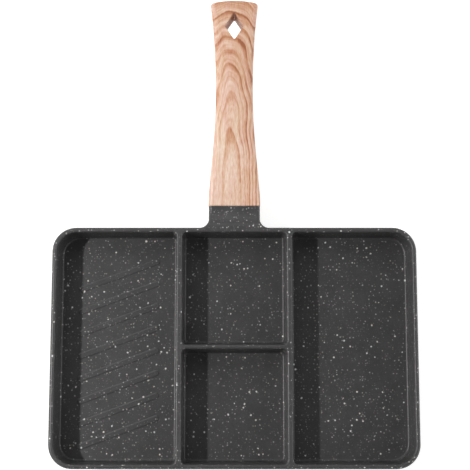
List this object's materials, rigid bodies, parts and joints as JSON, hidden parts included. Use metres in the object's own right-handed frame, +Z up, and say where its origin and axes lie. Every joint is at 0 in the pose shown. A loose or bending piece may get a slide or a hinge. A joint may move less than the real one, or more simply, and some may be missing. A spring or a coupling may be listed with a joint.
{
  "type": "divided frying pan",
  "caption": "Rectangular cast frying pan with a divided floor, low slanted ribs on one side, a short neck and a fixed wood-effect handle with a rhombus hanging hole.",
  "frame": {"origin": "centre of the pan's flat underside, midway along its length and its breadth", "axes": "+X along the pan's long side, towards the right compartment; +Y towards the handle; +Z up"},
  "size_m": [0.3212, 0.4145, 0.046],
  "materials": {
    "coated_pan": "matte",
    "wood_effect_grip": "satin",
    "fixing_steel": "satin"
  },
  "bodies": {
    "root": {"pan_body": "coated_pan", "handle": "wood_effect_grip", "handle_screw": "fixing_steel", "spring_washer": "fixing_steel"}
  },
  "joints": []
}
